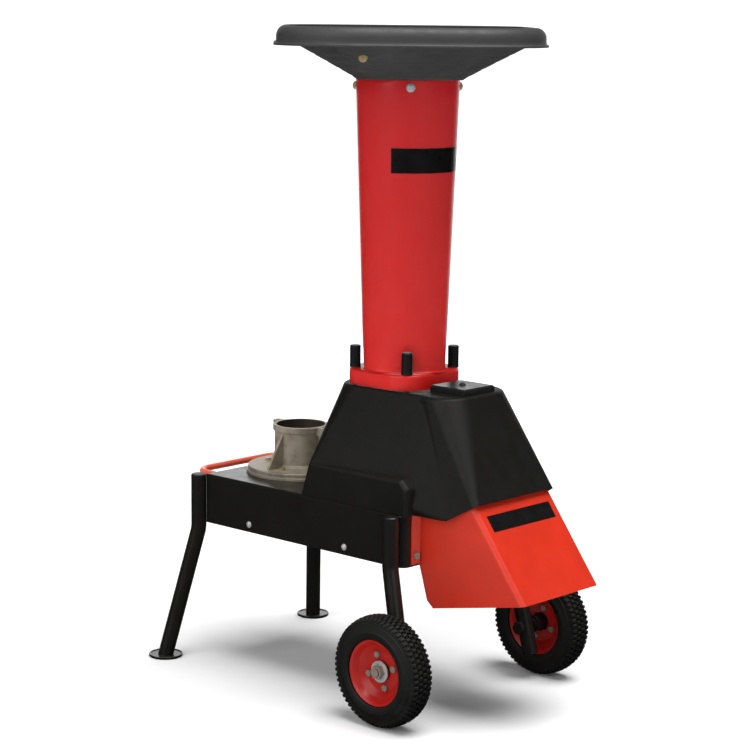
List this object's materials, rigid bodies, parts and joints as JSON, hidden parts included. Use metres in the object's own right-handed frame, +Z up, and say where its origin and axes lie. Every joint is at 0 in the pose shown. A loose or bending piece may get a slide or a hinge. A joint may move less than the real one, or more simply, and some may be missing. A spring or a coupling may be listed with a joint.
{
  "type": "garden shredder",
  "caption": "Garden shredder: wheeled deck with engine bell, belt-driven hammer rotor, moulded cover, tall feed tube with a square hopper, sheet chute.",
  "frame": {"origin": "on the ground, in the middle of the overall box", "axes": "+Z up, +X towards the discharge chute, +Y to the left of someone who faces the chute side's way"},
  "size_m": [0.917, 0.61, 1.327],
  "materials": {
    "black_paint": "gloss",
    "red_paint": "gloss",
    "orange_paint": "gloss",
    "cast_aluminium": "cast",
    "zinc_steel": "satin",
    "machined_steel": "satin",
    "cast_iron": "cast",
    "black_plastic": "matte",
    "grey_plastic": "matte",
    "belt_rubber": "matte",
    "tyre_rubber": "matte"
  },
  "bodies": {
    "frame": {"deck_box": "black_paint", "bottom_tray": "black_paint", "tray_screws": "zinc_steel", "rear_leg_right": "black_paint", "rear_leg_left": "black_paint", "front_leg_right": "black_paint", "front_leg_left": "black_paint", "rear_feet": "black_paint", "leg_caps": "black_plastic", "lifting_handle": "orange_paint", "handle_bolts": "zinc_steel", "engine_bell": "cast_aluminium", "bell_screws": "zinc_steel", "drive_bearings": "machined_steel", "drive_belt": "belt_rubber", "chamber_housing": "machined_steel", "chamber_lid": "machined_steel", "chamber_bolts": "zinc_steel", "clamp_studs": "machined_steel", "counter_blade": "machined_steel", "rotor_bearing_housing": "cast_iron", "rotor_bearings": "machined_steel", "housing_bolts": "zinc_steel", "housing_cover": "black_plastic", "access_cap": "black_plastic", "cap_screw": "black_plastic", "discharge_chute": "orange_paint", "chute_bolts": "zinc_steel", "feed_tube": "red_paint", "clamp_nuts": "black_plastic", "feed_hopper": "grey_plastic", "hopper_bolts": "zinc_steel", "axle_bolts": "zinc_steel", "axle_nuts": "zinc_steel"},
    "drive": {"drive_shaft": "machined_steel", "engine_coupling": "machined_steel", "drive_pulley": "cast_iron", "drive_shaft_nut": "machined_steel"},
    "rotor": {"rotor_shaft": "machined_steel", "rotor_disc": "machined_steel", "rotor_knives": "machined_steel", "knife_screws": "machined_steel", "hammer_pins": "machined_steel", "fan_vanes": "machined_steel", "rotor_pulley": "cast_iron", "rotor_nuts": "machined_steel"},
    "right_wheel": {"right_tyre": "tyre_rubber", "right_rim": "red_paint", "right_hub": "black_plastic", "right_rim_bolts": "zinc_steel"},
    "left_wheel": {"left_tyre": "tyre_rubber", "left_rim": "red_paint", "left_hub": "black_plastic", "left_rim_bolts": "zinc_steel"},
    "hammer_1_body": {"hammer_1": "machined_steel"},
    "hammer_2_body": {"hammer_2": "machined_steel"},
    "hammer_3_body": {"hammer_3": "machined_steel"},
    "hammer_4_body": {"hammer_4": "machined_steel"}
  },
  "joints": [
    {"name": "right_wheel_spin", "type": "hinge", "parent": "frame", "child": "right_wheel", "pos_m": [0.2185, -0.243, 0.11], "axis": [0, 1, 0], "continuous": true},
    {"name": "left_wheel_spin", "type": "hinge", "parent": "frame", "child": "left_wheel", "pos_m": [0.2185, 0.243, 0.11], "axis": [0, 1, 0], "continuous": true},
    {"name": "rotor_spin", "type": "hinge", "parent": "frame", "child": "rotor", "pos_m": [0.0755, 0, 0.462], "axis": [0, 0, 1], "continuous": true},
    {"name": "drive_spin", "type": "hinge", "parent": "frame", "child": "drive", "pos_m": [-0.2445, 0, 0.395], "axis": [0, 0, 1], "continuous": true},
    {"name": "hammer_1_swing", "type": "hinge", "parent": "rotor", "child": "hammer_1_body", "pos_m": [0.11793, 0.04243, 0.456], "axis": [0, 0, 1], "range_deg": [-75, 75]},
    {"name": "hammer_2_swing", "type": "hinge", "parent": "rotor", "child": "hammer_2_body", "pos_m": [0.03307, 0.04243, 0.456], "axis": [0, 0, 1], "range_deg": [-75, 75]},
    {"name": "hammer_3_swing", "type": "hinge", "parent": "rotor", "child": "hammer_3_body", "pos_m": [0.03307, -0.04243, 0.456], "axis": [0, 0, 1], "range_deg": [-75, 75]},
    {"name": "hammer_4_swing", "type": "hinge", "parent": "rotor", "child": "hammer_4_body", "pos_m": [0.11793, -0.04243, 0.456], "axis": [0, 0, 1], "range_deg": [-75, 75]}
  ],
  "couplings": [
    {"joint": "drive_spin", "follows": "rotor_spin", "ratio": 0.91667}
  ]
}
